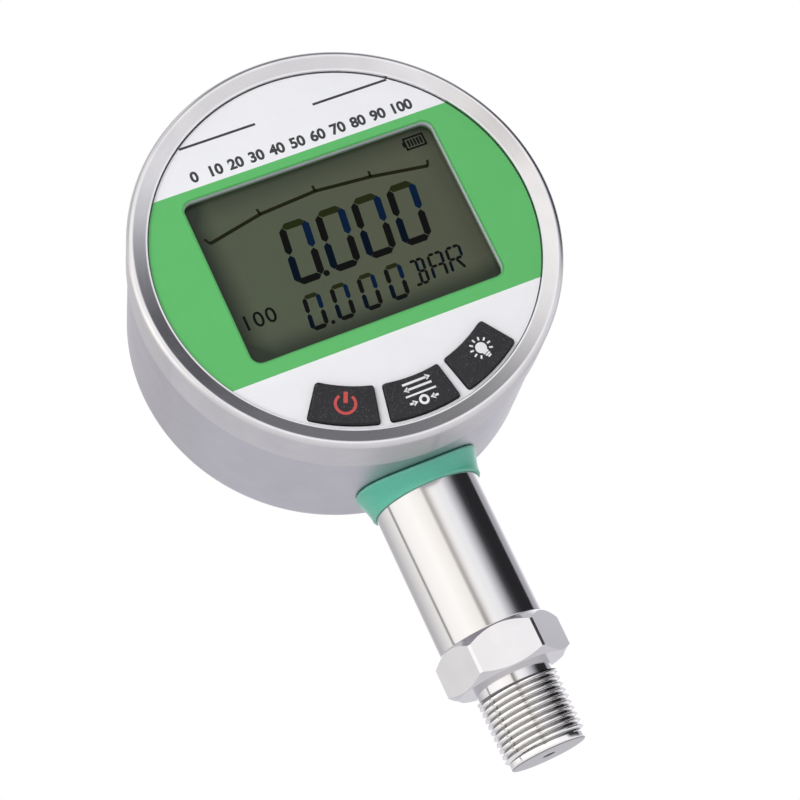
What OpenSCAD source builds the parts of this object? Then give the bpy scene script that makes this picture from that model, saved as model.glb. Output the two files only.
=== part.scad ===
// Digital pressure gauge with a round steel case, a display with three keys,
// and a threaded stem that hangs below the case.
// The origin is on the stem's axis at the upper end of the process thread.
// +Z runs up the stem to the case, the dial faces -Y, and +X is the dial's right.
// Depths are measured from the dial's face towards the back.

/* [Case and bezel] */
// Outer diameter of the bezel ring
bezel_d = 100; // [98:0.5:112]
// Height of the bezel's rim in front of the dial's face
bezel_rise = 1.9; // [1.2:0.1:3]
// Depth of the seam between the bezel and the case
seam_depth = 10.1; // [9:0.1:14]
// Step from the bezel's side down to the case's side
seam_step = 0.45; // [0.2:0.05:0.8]
// Width of the bezel's front face
bezel_face = 4.8; // [4.2:0.1:5.4]
// Depth of the case's back face
back_depth = 48.1; // [46.5:0.1:60]
// Wall of the drawn steel case
case_wall = 1.5; // [1:0.1:1.8]
// Outer radius of the case's back edge
back_edge_r = 3.4; // [2:0.1:4]

/* [Dial] */
// Thickness of the printed sheet on the panel
overlay_t = 0.3; // [0.2:0.05:0.5]
// Thickness of the moulded panel
panel_t = 1.6; // [1.4:0.1:2.1]
// Least distance from the display window's sides to the bezel
window_side = 13.9; // [13.7:0.1:20]
// Distance from the window's top to the bezel above it
window_over = 22.15; // [22:0.05:26]
// Distance from the window's foot down to the arc of keys
window_under = 15.45; // [15.2:0.05:20]
// Corner radius of the display window
window_r = 2.5; // [1:0.1:4]

/* [Keys] */
// Gap between the bezel and the arc of keys
key_margin = 1.1; // [0.9:0.1:2]
// Length of a key along the dial's radius
key_length = 9; // [8:0.1:9.4]
// Angle between neighbouring keys
key_pitch_angle = 25; // [24:0.5:28]
// Half of the angle that the middle key spans
middle_half_angle = 11; // [9:0.25:11.25]
// Half of the angle that each outer key spans
outer_half_angle = 10.5; // [9:0.25:11]
// Height of the keys above the dial's face
key_rise = 1.2; // [0.8:0.1:1.8]
// How far a key is pressed
key_travel = 0.5; // [0.3:0.05:0.6]
// Chamfer on a key's top edges
key_edge = 0.4; // [0.2:0.05:0.6]

/* [Stem] */
// Distance from the stem's axis to the case's back face
stem_inset = 16.4; // [16:0.1:17]
// Outer diameter of the sensor sleeve
sleeve_d = 26; // [25.6:0.1:27]
// Length of the sleeve between the hexagon and the case gasket's web
sleeve_h = 39.65; // [34:0.05:60]
// Hexagon width across its flats
hex_flats = 27; // [26:0.5:30]
// How far the hexagon's corners are turned down
hex_corner_trim = 0.24; // [0.1:0.02:0.4]
// Height of the hexagon
hex_h = 10.5; // [9:0.5:14]
// Angle that the hexagon is turned about the stem
hex_angle = -7; // [-30:1:30]
// Diameter of the undercut between the hexagon and the thread
neck_d = 18.6; // [17:0.1:19]
// Height of the undercut
neck_h = 2.8; // [1.5:0.1:4]
// Outside diameter of the process thread
thread_d = 20; // [19.5:0.1:21]
// Length of the process thread
thread_h = 15.2; // [12:0.1:20]
// Diameter of the plain end below the thread
pilot_d = 18.5; // [17:0.1:19]
// Length of the plain end
pilot_h = 1.5; // [1:0.1:3]
// Diameter of the pressure port
port_d = 3; // [2:0.1:4]

/* [Gasket] */
// Wall of the saddle gasket at its lower rim
gasket_wall = 0.8; // [0.6:0.1:1.5]
// How far the gasket's upper edge flares past its rim
gasket_flare = 1.6; // [1.2:0.1:3]
// Height of the gasket's skirt below the case
gasket_drop = 4.55; // [3.5:0.05:6]
// Thickness of the gasket's edge on the case
gasket_lip = 1; // [0.6:0.1:1.5]
// Thickness of the gasket's web between sleeve and case
gasket_web = 0.8; // [0.5:0.1:1.2]

/* [Batteries] */
// Diameter of one cell
cell_d = 10.5; // [9.5:0.1:11]
// Length of one cell with its end button
cell_l = 44.5; // [42:0.1:46]

/* [Hidden] */
$fn = 96;

// General clearances
slip = 0.05;
easy_gap = 0.2;
cut_extra = 1;

// Case and bezel
bezel_r = bezel_d / 2;
case_r = bezel_r - seam_step;
face_in_r = bezel_r - bezel_face;
bezel_flat_w = 0.4;
bezel_cone_slope = 19.4;
bezel_lip_r = 1.25;
bezel_lip_in = bezel_r - bezel_lip_r * (1 + sin(bezel_cone_slope));
bezel_cone_top = bezel_lip_r * (1 - cos(bezel_cone_slope)) - bezel_rise;
bezel_flat_at = bezel_cone_top + (bezel_lip_in - face_in_r - bezel_flat_w) * tan(bezel_cone_slope);
joggle = 1.35;
neck_r = case_r - joggle;
neck_in_r = neck_r - case_wall;
panel_front = overlay_t;
panel_back = panel_front + panel_t;
seal_t = 0.8;
seal_overhang = 0.6;
neck_front = panel_back + seal_t;
panel_lap = 1.8;
panel_r = face_in_r + panel_lap;
back_inner = back_depth - case_wall;
stem_depth = back_depth - stem_inset;

// Keys lie on an arc inside the bezel, and the window above them
key_out_r = face_in_r - key_margin;
key_in_r = key_out_r - key_length;
window_top = face_in_r - window_over;
window_foot = window_under - key_in_r;
window_w = 2 * (face_in_r - window_side);
window_h = window_top - window_foot;
window_up = (window_top + window_foot) / 2;

// Parts behind the window
collar_t = 0.35;
collar_sink = 0.1;
holder_lip_t = 0.3;
glass_front = panel_back + holder_lip_t;
glass_lap = 1.6;
glass_t = 1.1;
ledge_h = 2.5;
zebra_t = 2;
zebra_end = 2.9;
glass_w = window_w + 2 * glass_lap;
rear_lap = 0.5;
rear_glass_h = window_h + 2 * rear_lap;
front_glass_h = rear_glass_h + 2 * ledge_h;
glass_back = glass_front + 2 * glass_t;
holder_wall = 1.2;
board_depth = 8;
board_t = 1.6;
board_back = board_depth + board_t;
board_gap = 2.2;
board_r = neck_in_r - board_gap;
chip_w = 12;
chip_t = 1.4;
chip_at = [-12, 8];

// Board screws stand on one ring
boss_inset = 5.7;
boss_ring_r = neck_in_r - boss_inset;
boss_angles = [66, 114, 223, 317];
boss_r = 2.4;
board_screw_r = 1;
board_screw_grip = 4;
board_screw_head_r = 2;
board_screw_head_h = 1.4;

// Keys and switches
key_angles = [-key_pitch_angle, 0, key_pitch_angle];
key_half_angles = [outer_half_angle, middle_half_angle, outer_half_angle];
key_mid_r = (key_in_r + key_out_r) / 2;
key_corner = 0.8;
key_gap = 0.25;
key_flange_t = 1;
key_flange_lap = 0.8;
post_r = 2.5;
post_h = 0.7;
plunger_r = 1.75;
plunger_gap = 0.15;
plunger_h = 2.5;
key_stop_gap = 0.3;
switch_w = 6;
post_end = panel_back + key_flange_t + post_h;
switch_front = post_end + key_travel + key_stop_gap;

// Stem levels above the origin
hex_r = hex_flats / 2 / cos(30);
hex_turned_r = hex_r - hex_corner_trim;
hex_face_step = 0.3;
hex_face_r = hex_flats / 2 - hex_face_step;
hex_top_chamfer = 2.2;
hex_low_chamfer = 1.5;
thread_r = thread_d / 2;
thread_lead = 0.8;
pilot_r = pilot_d / 2;
pilot_chamfer = 0.5;
undercut_r = neck_d / 2;
port_r = port_d / 2;
sleeve_r = sleeve_d / 2;
sleeve_foot = neck_h + hex_h;
shoulder = sleeve_foot + sleeve_h;
dial_h = shoulder + gasket_web + case_r;
sleeve_wall = 1.95;
sleeve_bore_r = sleeve_r - sleeve_wall;
sleeve_roof = 3;
shoulder_w = 3;
spigot_r = sleeve_r - shoulder_w;
spigot_wall = 2;
spigot_bore_r = spigot_r - spigot_wall;
spigot_chamfer = 0.5;
spigot_rise = 1.5;
gasket_rim_r = sleeve_r + gasket_wall;
gasket_r = gasket_rim_r + gasket_flare;
gasket_edge_r = 0.5;
flare_power = 1.6;
washer_rim = 2;
washer_r = spigot_r + washer_rim;
washer_h = 3;
nut_h = 5;
nut_wall = 2;
nut_flats = 2 * (spigot_r + nut_wall);
case_floor = dial_h - case_r + case_wall;
spigot_top = case_floor + washer_h + nut_h + spigot_rise;

// Sensor stack inside the foot of the sleeve
pocket_wall = 1.45;
pocket_r = sleeve_bore_r - pocket_wall;
pocket_step = 2;
pocket_floor = sleeve_foot + pocket_step;
o_ring_t = 1.6;
sensor_h = 5;
retainer_h = 3;
retainer_rim = 4;
retainer_bore_r = pocket_r - retainer_rim;
retainer_sink = 0.4;
inner_top = pocket_floor + o_ring_t + sensor_h + retainer_h + retainer_sink;
sensor_board_t = 1.2;
plug_w = 5;
plug_d = 4;
plug_h = 3.5;
plug_foot = inner_top + sensor_board_t;
plug_top = plug_foot + plug_h;

// Cables
cable_r = 1.2;
cable_bend_r = 6;
cable_rise = 8.5;
cable_level = spigot_top + cable_rise;
socket_h = 5;
socket_w = 8;
socket_d = 5;
socket_depth = board_back + socket_h;
lead_side = 20;
lead_r = 0.8;
lead_pitch = 2.5;

// Battery tray and cover
cell_r = cell_d / 2;
cell_count = 3;
cell_space = 0.8;
cell_pitch = cell_d + cell_space;
cell_ease = 0.25;
cell_cover_gap = 0.6;
cell_button_r = 1.9;
cell_button_h = 0.8;
tray_wall = 1.2;
tray_floor = 1.4;
contact_room = 2.5;
tray_in_w = cell_l + 2 * contact_room;
tray_w = tray_in_w + 2 * tray_wall;
tray_h = cell_count * cell_pitch + 2 * tray_wall;
cell_depth = back_inner - cell_cover_gap - cell_r;
tray_front = cell_depth - cell_r - cell_ease - tray_floor;
hatch_ease = 0.6;
hatch_r = norm([cell_l / 2, cell_count * cell_pitch / 2]) + hatch_ease;
fastener_step = 5.5;
fastener_ring_r = hatch_r + fastener_step;
cover_rim = 3.4;
cover_r = fastener_ring_r + cover_rim;
fastener_angles = [50, 130, 230, 310];
ear_r = 4;
ear_t = 1.4;
cover_seal_t = 0.6;
cover_t = 1.5;
cover_edge = 0.8;
rivet_r = 2.4;
rivet_grip = 5;
rivet_flange_r = 3.4;
rivet_flange_t = 1;
screw_r = 1.5;
screw_l = 6.5;
screw_head_r = 2.75;
screw_head_h = 1.7;
screw_socket_r = 1.3;
screw_socket_h = 0.9;
contact_t = 0.5;
contact_w = 8;

// Placing

// A solid turned about the dial's axis, its profile drawn as radius and depth
module turned()
    translate([0, -stem_depth, dial_h]) rotate([-90, 0, 0]) rotate_extrude($fn = 180) children();

// A plate between two depths, its outline drawn as the dial is seen
module plate(front, back)
    translate([0, back - stem_depth, dial_h]) rotate([90, 0, 0])
        linear_extrude(back - front) children();

// A pin along the dial's axis between two depths
module pin(front, back, r)
    plate(front, back) circle(r, $fn = 48);

// Children turned about the dial's axis, anticlockwise as the dial is seen
module swung(angle)
    translate([0, 0, dial_h]) rotate([0, -angle, 0]) translate([0, 0, -dial_h]) children();

// Children set on a ring about the dial's axis
module on_ring(ring_r, angles)
    for (angle = angles)
        translate([ring_r * cos(angle), 0, ring_r * sin(angle)]) children();

module up(height)
    translate([0, 0, height]) children();

// Outlines

module rounded_rect(w, h, r) {
    square([w - 2 * r, h], center = true);
    square([w, h - 2 * r], center = true);
    for (x = [-1, 1], y = [-1, 1])
        translate([x * (w / 2 - r), y * (h / 2 - r)]) circle(r, $fn = 32);
}

// The direction at an angle from straight down, anticlockwise
function around(angle) = [sin(angle), -cos(angle)];

// Right half of a key's outline, from the middle of its outer arc round to its inner arc
function key_side(in_r, out_r, side, in_turn, out_turn) = concat(
    [for (share = [0 : 0.25 : 1]) out_r * around(out_turn * share)],
    [for (share = [0.25 : 0.25 : 1])
        (out_r - key_corner) * around(out_turn)
            + key_corner * around(out_turn + (side + 90 - out_turn) * share)],
    [for (share = [0 : 0.25 : 0.75])
        (in_r + key_corner) * around(in_turn)
            + key_corner * around(side + 90 + (in_turn + 90 - side) * share)],
    [for (share = [1 : -0.25 : 0]) in_r * around(in_turn * share)]
);

// A key's outline below the dial's centre with round corners, grown all round
module key_outline(half_angle, grow) {
    in_r = key_in_r - grow;
    out_r = key_out_r + grow;
    side = half_angle + asin(grow / key_mid_r);
    in_turn = side - asin(key_corner / (in_r + key_corner));
    out_turn = side - asin(key_corner / (out_r - key_corner));
    right = key_side(in_r, out_r, side, in_turn, out_turn);
    polygon(concat(right, [for (i = [len(right) - 2 : -1 : 1]) [-right[i][0], right[i][1]]]));
}

module window_outline(grow)
    translate([0, window_up])
        rounded_rect(window_w + 2 * grow, window_h + 2 * grow, window_r + grow);

module glass_block(front, back, h, grow)
    plate(front, back) translate([0, window_up]) square([glass_w + 2 * grow, h + 2 * grow], center = true);

// Case and bezel

module bezel_ring() color("gainsboro") turned() {
    polygon([
        [face_in_r, panel_front],
        [face_in_r, bezel_flat_at],
        [face_in_r + bezel_flat_w, bezel_flat_at],
        for (share = [0 : 0.0625 : 1]) let(a = share * (90 + bezel_cone_slope) - bezel_cone_slope)
            [bezel_r + bezel_lip_r * (sin(a) - 1), bezel_lip_r * (1 - cos(a)) - bezel_rise],
        [bezel_r, seam_depth],
        [neck_r + easy_gap, seam_depth],
        [neck_r + easy_gap, panel_back],
        [panel_r + easy_gap, panel_back],
        [panel_r + easy_gap, panel_front]
    ]);
}

module bezel_seal() color("dimgray") turned()
    translate([neck_in_r - seal_overhang, panel_back]) square([case_wall + seal_overhang, seal_t]);

module case_shell() color("silver") difference() {
    turned() difference() {
        union() {
            translate([0, neck_front]) square([neck_r, back_inner - neck_front]);
            translate([0, seam_depth]) square([case_r, back_depth - back_edge_r - seam_depth]);
            translate([0, back_inner - cut_extra]) square([case_r - back_edge_r, case_wall + cut_extra]);
            translate([case_r - back_edge_r, back_depth - back_edge_r]) intersection() {
                circle(back_edge_r);
                square(back_edge_r);
            }
        }
        square([neck_in_r, seam_depth + cut_extra]);
        translate([0, seam_depth + case_wall])
            square([case_r - case_wall, back_depth - back_edge_r - seam_depth - case_wall]);
        square([case_r - back_edge_r, back_inner]);
        translate([case_r - back_edge_r, back_depth - back_edge_r]) intersection() {
            circle(back_edge_r - case_wall);
            square(back_edge_r);
        }
        square([hatch_r, back_depth + cut_extra]);
    }
    up(shoulder) cylinder(r = spigot_r + slip, h = 3 * case_wall + gasket_web + washer_h);
    on_ring(fastener_ring_r, fastener_angles)
        pin(back_inner - cut_extra, back_depth + cut_extra, rivet_r + slip);
}

// Dial

module front_panel() color("whitesmoke") {
    plate(panel_front, panel_back) difference() {
        circle(panel_r, $fn = 180);
        window_outline(collar_t + slip);
        for (i = [0 : 2])
            rotate(key_angles[i]) key_outline(key_half_angles[i], key_gap);
    }
    on_ring(boss_ring_r, boss_angles) difference() {
        pin(panel_back, board_depth, boss_r);
        pin(board_back - board_screw_grip - board_t - slip, board_depth + cut_extra, board_screw_r + slip);
    }
}

module panel_overlay() color("mediumseagreen")
    plate(0, panel_front) difference() {
        circle(face_in_r - slip, $fn = 180);
        window_outline(collar_t + slip);
        for (i = [0 : 2])
            rotate(key_angles[i]) key_outline(key_half_angles[i], key_gap);
    }

module lcd_glass() color("darkolivegreen") {
    glass_block(glass_front, glass_front + glass_t, front_glass_h, 0);
    glass_block(glass_front + glass_t, glass_back, rear_glass_h, 0);
}

module lcd_backlight() color("honeydew")
    glass_block(glass_back, board_depth, rear_glass_h, 0);

// A frame round the display, with a lip over the glass and a collar that lines the window
module lcd_holder() color("gray") difference() {
    union() {
        glass_block(panel_back, board_depth, front_glass_h, holder_wall + slip);
        plate(collar_sink, glass_front) window_outline(collar_t);
    }
    glass_block(glass_front, board_depth + cut_extra, front_glass_h, slip);
    plate(-cut_extra, glass_front + cut_extra) window_outline(0);
}

module zebra_strips() color("darkgray")
    for (side = [-1, 1])
        plate(glass_front + glass_t, board_depth)
            translate([0, window_up + side * (front_glass_h - zebra_t) / 2])
                square([glass_w - 2 * zebra_end, zebra_t], center = true);

// Keys and their switches

module key(i) color("dimgray") swung(key_angles[i]) {
    half_angle = key_half_angles[i];
    difference() {
        intersection() {
            plate(-key_rise, panel_back) key_outline(half_angle, 0);
            turned() polygon([
                [key_in_r - cut_extra, panel_back],
                [key_in_r - cut_extra, key_edge + cut_extra - key_rise],
                [key_in_r + key_edge, -key_rise],
                [key_out_r - key_edge, -key_rise],
                [key_out_r + cut_extra, key_edge + cut_extra - key_rise],
                [key_out_r + cut_extra, panel_back]
            ]);
        }
        for (side = [-1, 1])
            swung(side * half_angle) translate([0, -stem_depth - key_rise, dial_h - key_mid_r])
                rotate([0, 0, 45])
                    cube([key_edge * sqrt(2), key_edge * sqrt(2), 2 * (key_out_r - key_in_r)],
                        center = true);
    }
    plate(panel_back, panel_back + key_flange_t) key_outline(half_angle, key_flange_lap);
    translate([0, 0, -key_mid_r]) pin(panel_back, post_end, post_r);
}

module plunger(i) color("ivory") swung(key_angles[i])
    translate([0, 0, -key_mid_r]) pin(post_end, post_end + plunger_h, plunger_r);

module tact_switches() color("darkslategray")
    for (angle = key_angles)
        swung(angle) difference() {
            plate(switch_front, board_depth) translate([0, -key_mid_r]) square(switch_w, center = true);
            translate([0, 0, -key_mid_r])
                pin(switch_front - cut_extra, post_end + plunger_h + key_travel + key_stop_gap,
                    plunger_r + plunger_gap);
        }

// Main board

module main_board() color("seagreen") plate(board_depth, board_back) difference() {
    circle(board_r, $fn = 180);
    for (angle = boss_angles)
        rotate(angle) translate([boss_ring_r, 0]) circle(board_screw_r + easy_gap, $fn = 32);
}

module control_chip() color("black")
    plate(board_back, board_back + chip_t) translate(chip_at) square(chip_w, center = true);

// The sensor's socket at the foot of the board, and the battery's beside the middle
module board_sockets() color("beige") {
    plate(board_back, socket_depth) translate([0, cable_level - dial_h])
        square([socket_w, socket_d], center = true);
    plate(board_back, socket_depth) translate([lead_side, 0]) square([socket_w, socket_d], center = true);
}

module board_screws() color("silver") on_ring(boss_ring_r, boss_angles) {
    pin(board_back - board_t - board_screw_grip, board_back, board_screw_r);
    pin(board_back, board_back + board_screw_head_h, board_screw_head_r);
}

// Joint between the stem and the case

// The case's round side run on past both ends, thickened by some amount
module case_round(grow)
    turned() translate([0, -stem_depth]) square([case_r + grow, back_depth + 2 * stem_depth]);

// The skirt flares from its flat rim to the edge that lies on the case
module saddle_gasket() color("mediumaquamarine") difference() {
    rim = shoulder + gasket_web - gasket_drop;
    flare_h = gasket_drop + gasket_lip - 2 * gasket_edge_r;
    rotate_extrude($fn = 180) polygon([
        [0, rim],
        for (a = [-90 : 30 : 0])
            [gasket_rim_r + gasket_edge_r * (cos(a) - 1), rim + gasket_edge_r * (sin(a) + 1)],
        for (share = [0.2 : 0.2 : 1])
            [gasket_rim_r + (gasket_r - gasket_rim_r) * pow(share, flare_power),
             rim + gasket_edge_r + flare_h * share],
        [gasket_r, dial_h],
        [0, dial_h]
    ]);
    case_round(0);
    turned() square([bezel_r + slip, seam_depth + slip]);
    up(shoulder - 2 * gasket_drop) cylinder(r = sleeve_r, h = 2 * gasket_drop);
    up(shoulder - cut_extra) cylinder(r = spigot_r + slip, h = gasket_r);
}

module saddle_washer() color("darkgray") difference() {
    intersection() {
        up(shoulder) cylinder(r = washer_r, h = case_floor + washer_h - shoulder);
        case_round(-case_wall);
    }
    up(shoulder) cylinder(r = spigot_r + slip, h = dial_h);
}

module stem_nut() color("silver") up(case_floor + washer_h) difference() {
    cylinder(d = nut_flats / cos(30), h = nut_h, $fn = 6);
    up(-cut_extra) cylinder(r = spigot_r, h = nut_h + 2 * cut_extra);
}

module stem_sleeve() color("lightgray") rotate_extrude() polygon([
    [sleeve_bore_r, sleeve_foot],
    [sleeve_r, sleeve_foot],
    [sleeve_r, shoulder],
    [spigot_r, shoulder],
    [spigot_r, spigot_top - spigot_chamfer],
    [spigot_r - spigot_chamfer, spigot_top],
    [spigot_bore_r, spigot_top],
    [spigot_bore_r, shoulder - sleeve_roof],
    [sleeve_bore_r, shoulder - sleeve_roof]
]);

// Process fitting and sensor

module process_fitting() color("silver") difference() {
    union() {
        intersection() {
            up(neck_h) rotate(hex_angle) cylinder(r = hex_r, h = hex_h, $fn = 6);
            rotate_extrude() polygon([
                [0, neck_h],
                [hex_face_r, neck_h],
                [hex_turned_r, neck_h + hex_low_chamfer],
                [hex_turned_r, sleeve_foot - hex_top_chamfer],
                [hex_face_r, sleeve_foot],
                [0, sleeve_foot]
            ]);
        }
        rotate_extrude() polygon([
            [0, -thread_h - pilot_h],
            [pilot_r - pilot_chamfer, -thread_h - pilot_h],
            [pilot_r, pilot_chamfer - thread_h - pilot_h],
            [pilot_r, -thread_h],
            [thread_r, thread_lead - thread_h],
            [thread_r, 0],
            [undercut_r, 0],
            [undercut_r, neck_h + cut_extra],
            [sleeve_bore_r - slip, sleeve_foot - cut_extra],
            [sleeve_bore_r - slip, inner_top],
            [0, inner_top]
        ]);
    }
    up(-thread_h - pilot_h - cut_extra) cylinder(r = port_r, h = thread_h + sleeve_foot + inner_top);
    up(pocket_floor) cylinder(r = pocket_r, h = inner_top);
}

module sensor_o_ring() color("black") up(pocket_floor + o_ring_t / 2)
    rotate_extrude() translate([pocket_r - o_ring_t / 2 - slip, 0]) circle(o_ring_t / 2, $fn = 32);

module sensor_cell() color("lightsteelblue") up(pocket_floor + o_ring_t)
    cylinder(r = pocket_r - slip, h = sensor_h);

module sensor_retainer() color("gray") up(pocket_floor + o_ring_t + sensor_h) difference() {
    cylinder(r = pocket_r - slip, h = retainer_h);
    up(-cut_extra) cylinder(r = retainer_bore_r, h = retainer_h + 2 * cut_extra);
}

module sensor_board() color("seagreen") up(inner_top)
    cylinder(r = sleeve_bore_r - slip, h = sensor_board_t);

module sensor_plug() color("beige") up(plug_foot) linear_extrude(plug_h)
    square([plug_w, plug_d], center = true);

// From the sensor up the stem, round one bend and forward to the main board
module sensor_cable() color("darkslategray") {
    up(plug_top) cylinder(r = cable_r, h = cable_level - cable_bend_r - plug_top, $fn = 32);
    translate([0, -cable_bend_r, cable_level - cable_bend_r]) rotate([90, 0, 90])
        rotate_extrude(angle = 90) translate([cable_bend_r, 0]) circle(cable_r, $fn = 32);
    translate([0, -cable_bend_r, cable_level]) rotate([90, 0, 0])
        cylinder(r = cable_r, h = stem_depth - cable_bend_r - socket_depth, $fn = 32);
}

// Batteries

// Children repeated for each cell, centred on its axis at the dial's height
module each_cell()
    for (row = [0 : cell_count - 1])
        translate([0, cell_depth - stem_depth, dial_h + (row - (cell_count - 1) / 2) * cell_pitch])
            mirror([row % 2, 0, 0]) children();

// A round bar along X between two places
module bar_x(from_x, to_x, r)
    translate([from_x, 0, 0]) rotate([0, 90, 0]) cylinder(r = r, h = to_x - from_x, $fn = 48);

module battery_tray() color("black") difference() {
    union() {
        plate(tray_front, back_inner) square([tray_w, tray_h], center = true);
        plate(back_inner - ear_t, back_inner) for (angle = fastener_angles) {
            ear_x = fastener_ring_r * cos(angle);
            ear_y = fastener_ring_r * sin(angle);
            translate([ear_x, ear_y]) circle(ear_r, $fn = 48);
            translate([ear_x, ear_y / 2]) square([2 * ear_r, abs(ear_y)], center = true);
        }
    }
    each_cell() {
        bar_x(-tray_in_w / 2, tray_in_w / 2, cell_r + cell_ease);
        translate([-tray_in_w / 2, 0, -cell_pitch / 2]) cube([tray_in_w, back_depth - cell_depth, cell_pitch]);
    }
    on_ring(fastener_ring_r, fastener_angles)
        pin(back_inner - ear_t - cut_extra, back_depth, rivet_r + slip);
}

module battery_cells() color("steelblue") each_cell() {
    bar_x(-cell_l / 2, cell_l / 2 - cell_button_h, cell_r);
    bar_x(-cell_l / 2, cell_l / 2, cell_button_r);
}

// A flat plate at a cell's button and a sprung cone at its base
module battery_contacts() color("goldenrod") each_cell() {
    for (side = [-1, 1])
        translate([side * (tray_in_w - contact_t) / 2, 0, 0])
            cube([contact_t, contact_w, contact_w], center = true);
    bar_x(cell_l / 2, tray_in_w / 2, cell_button_r);
    translate([-tray_in_w / 2, 0, 0]) rotate([0, 90, 0])
        cylinder(r1 = contact_w / 2, r2 = cell_button_r, h = contact_room, $fn = 48);
}

module battery_lead() color("crimson")
    for (side = [-1, 1])
        translate([lead_side, 0, side * lead_pitch / 2]) pin(socket_depth, tray_front, lead_r);

module rivet_nuts() color("darkgray") on_ring(fastener_ring_r, fastener_angles) difference() {
    union() {
        pin(back_inner - ear_t - rivet_grip, back_depth, rivet_r);
        pin(back_inner - ear_t - rivet_flange_t, back_inner - ear_t, rivet_flange_r);
    }
    pin(back_inner - ear_t - rivet_grip - cut_extra, back_depth + cut_extra, screw_r + slip);
}

module cover_seal() color("dimgray") plate(back_depth, back_depth + cover_seal_t) difference() {
    circle(cover_r - cover_edge, $fn = 180);
    circle(hatch_r, $fn = 180);
    for (angle = fastener_angles)
        rotate(angle) translate([fastener_ring_r, 0]) circle(screw_r + easy_gap, $fn = 32);
}

module battery_cover() color("silver") difference() {
    turned() polygon([
        [0, back_depth + cover_seal_t],
        [cover_r, back_depth + cover_seal_t],
        [cover_r, back_depth + cover_seal_t + cover_t - cover_edge],
        [cover_r - cover_edge, back_depth + cover_seal_t + cover_t],
        [0, back_depth + cover_seal_t + cover_t]
    ]);
    on_ring(fastener_ring_r, fastener_angles)
        pin(back_depth, back_depth + cover_seal_t + cover_t + cut_extra, screw_r + easy_gap);
}

module cover_screws() color("silver") {
    seat = back_depth + cover_seal_t + cover_t;
    on_ring(fastener_ring_r, fastener_angles) difference() {
        union() {
            pin(seat - screw_l, seat, screw_r);
            pin(seat, seat + screw_head_h, screw_head_r);
        }
        pin(seat + screw_head_h - screw_socket_h, seat + screw_head_h + cut_extra, screw_socket_r);
    }
}

bezel_ring();
bezel_seal();
case_shell();
front_panel();
panel_overlay();
lcd_glass();
lcd_backlight();
lcd_holder();
zebra_strips();
key(0);  // key_power
key(1);  // key_unit
key(2);  // key_light
plunger(0);  // plunger_power
plunger(1);  // plunger_unit
plunger(2);  // plunger_light
tact_switches();
main_board();
control_chip();
board_sockets();
board_screws();
saddle_gasket();
saddle_washer();
stem_nut();
stem_sleeve();
process_fitting();
sensor_o_ring();
sensor_cell();
sensor_retainer();
sensor_board();
sensor_plug();
sensor_cable();
battery_tray();
battery_cells();
battery_contacts();
battery_lead();
rivet_nuts();
cover_seal();
battery_cover();
cover_screws();
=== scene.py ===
import math

import bmesh
import bpy
from mathutils import Matrix, Vector


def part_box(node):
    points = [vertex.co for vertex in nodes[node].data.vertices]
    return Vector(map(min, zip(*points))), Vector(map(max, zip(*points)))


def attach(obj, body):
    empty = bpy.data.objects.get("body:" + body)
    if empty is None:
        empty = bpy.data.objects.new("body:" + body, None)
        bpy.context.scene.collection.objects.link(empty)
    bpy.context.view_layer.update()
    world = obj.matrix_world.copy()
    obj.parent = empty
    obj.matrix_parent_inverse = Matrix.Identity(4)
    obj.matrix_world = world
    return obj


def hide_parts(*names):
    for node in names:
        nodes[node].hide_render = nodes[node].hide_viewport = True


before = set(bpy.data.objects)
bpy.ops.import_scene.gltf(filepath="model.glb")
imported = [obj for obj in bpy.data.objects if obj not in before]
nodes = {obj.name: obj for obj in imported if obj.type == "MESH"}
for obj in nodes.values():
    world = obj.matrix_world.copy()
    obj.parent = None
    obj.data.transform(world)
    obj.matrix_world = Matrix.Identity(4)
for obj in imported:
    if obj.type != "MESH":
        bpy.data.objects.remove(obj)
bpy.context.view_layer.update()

# Digital pressure gauge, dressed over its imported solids.
# Places on the dial are millimetres right and up from its centre, and depths run back from its face.
mm = 0.001
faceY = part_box("panel_overlay")[0].y
dialZ = (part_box("bezel_ring")[0].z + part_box("bezel_ring")[1].z) / 2
dialAxis = Vector((0, 0, dialZ))


def onDial(x, z, depth=0):
    return Vector((x * mm, faceY + depth * mm, dialZ + z * mm))


def roundDial(radius, degrees):
    # right and up, from a radius and a turn
    return radius * math.cos(math.radians(degrees)), radius * math.sin(math.radians(degrees))


# Making and finishing meshes

weld = {"piece": 2e-7, "node": 1e-6, "thread": 2e-6, "ink": 1e-7}  # metres between points that become one
heldWall = {"longer": 1.2, "beside": 0.2}


def rounded(bm, geom, size, segments, affect="EDGES"):
    bmesh.ops.bevel(bm, geom=geom, offset=size * mm, offset_type="OFFSET", segments=segments, profile=0.5,
                    affect=affect, material=-1)


def cornersOf(piece, *corners):
    # each corner names its radius, its depth or height, and its softening where it has one
    return [(*[piece[name] for name in corner.split()], 0)[:3] for corner in corners]


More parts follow.
